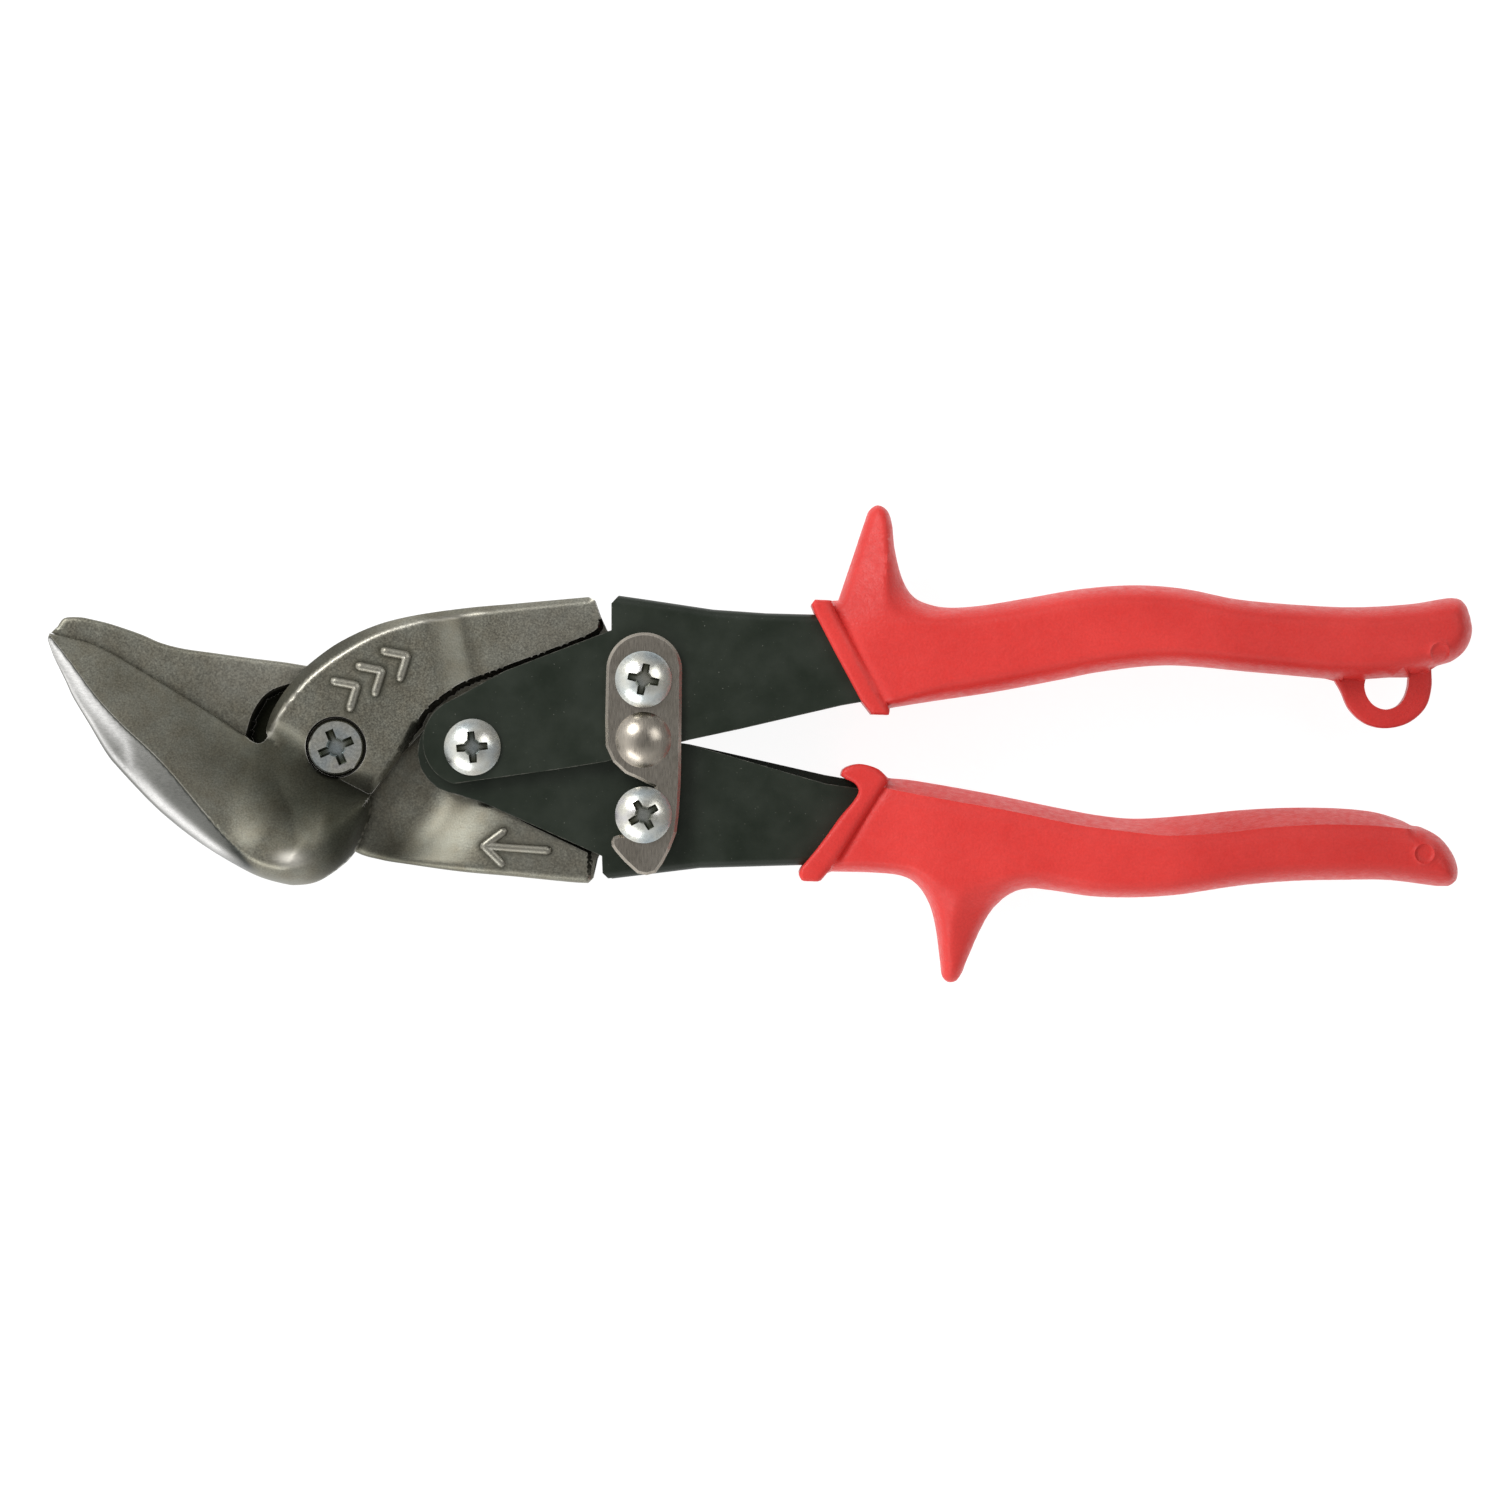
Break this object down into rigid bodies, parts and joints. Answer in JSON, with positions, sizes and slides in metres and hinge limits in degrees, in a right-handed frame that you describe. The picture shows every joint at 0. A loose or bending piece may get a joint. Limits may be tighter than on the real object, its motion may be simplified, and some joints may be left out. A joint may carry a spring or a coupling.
{
  "type": "offset aviation snips",
  "caption": "Compound-action offset aviation snips, closed and latched: forged offset jaws, channel handles, swing latch and moulded red grips with finger guards.",
  "frame": {"origin": "centre of the overall box, on the plane the backs of the grips rest on", "axes": "+X from the jaws to the grips, +Y across the tool towards the grip with the hang loop, +Z out of the side with the bolt heads and the latch"},
  "size_m": [0.235, 0.0791, 0.0234],
  "materials": {
    "forged_steel": "forged grey with worn bright edges",
    "black_paint": "satin black oxide",
    "zinc_steel": "bright zinc plate",
    "satin_latch": "satin nickel",
    "spring_steel": "oiled spring steel",
    "red_vinyl": "soft satin vinyl"
  },
  "bodies": {
    "upper_handle_body": {"upper_handle": "black_paint", "upper_grip": "red_vinyl", "handle_pivot_bolt": "zinc_steel", "handle_pivot_nut": "zinc_steel", "handle_pivot_bushing": "spring_steel", "return_spring": "spring_steel", "upper_link_bolt": "zinc_steel", "upper_link_nut": "zinc_steel", "upper_link_spacer": "zinc_steel", "latch_wave_washer": "zinc_steel"},
    "lower_handle_body": {"lower_handle": "black_paint", "lower_grip": "red_vinyl", "lower_link_bolt": "zinc_steel", "lower_link_nut": "zinc_steel", "lower_link_spacer": "zinc_steel", "keeper_collar": "zinc_steel"},
    "front_jaw_body": {"front_jaw": "forged_steel", "jaw_pivot_bolt": "zinc_steel", "jaw_pivot_washer": "zinc_steel", "jaw_pivot_nut": "zinc_steel"},
    "rear_jaw_body": {"rear_jaw": "forged_steel"},
    "latch_body": {"latch_plate": "satin_latch"}
  },
  "joints": [
    {"name": "handles_open", "type": "hinge", "parent": "upper_handle_body", "child": "lower_handle_body", "pos_m": [-0.0472, -0.0006, 0.011], "axis": [0, 0, -1], "range_deg": [0, 32], "deforming": ["return_spring"]},
    {"name": "front_jaw_link", "type": "hinge", "parent": "upper_handle_body", "child": "front_jaw_body", "pos_m": [-0.0191, 0.0105, 0.011], "axis": [0, 0, -1], "range_deg": [0, 7.6]},
    {"name": "jaws_open", "type": "hinge", "parent": "front_jaw_body", "child": "rear_jaw_body", "pos_m": [-0.0697, -0.0006, 0.011], "axis": [0, 0, -1], "range_deg": [0, 17.2]},
    {"name": "latch_swing", "type": "hinge", "parent": "upper_handle_body", "child": "latch_body", "pos_m": [-0.0191, 0.0105, 0.011], "axis": [0, 0, 1], "range_deg": [0, 71]}
  ],
  "couplings": [
    {"joint": "front_jaw_link", "follows": "handles_open", "ratio": 0.234},
    {"joint": "jaws_open", "follows": "handles_open", "ratio": 0.532},
    {"joint": "latch_swing", "follows": "handles_open", "ratio": 2.2}
  ]
}
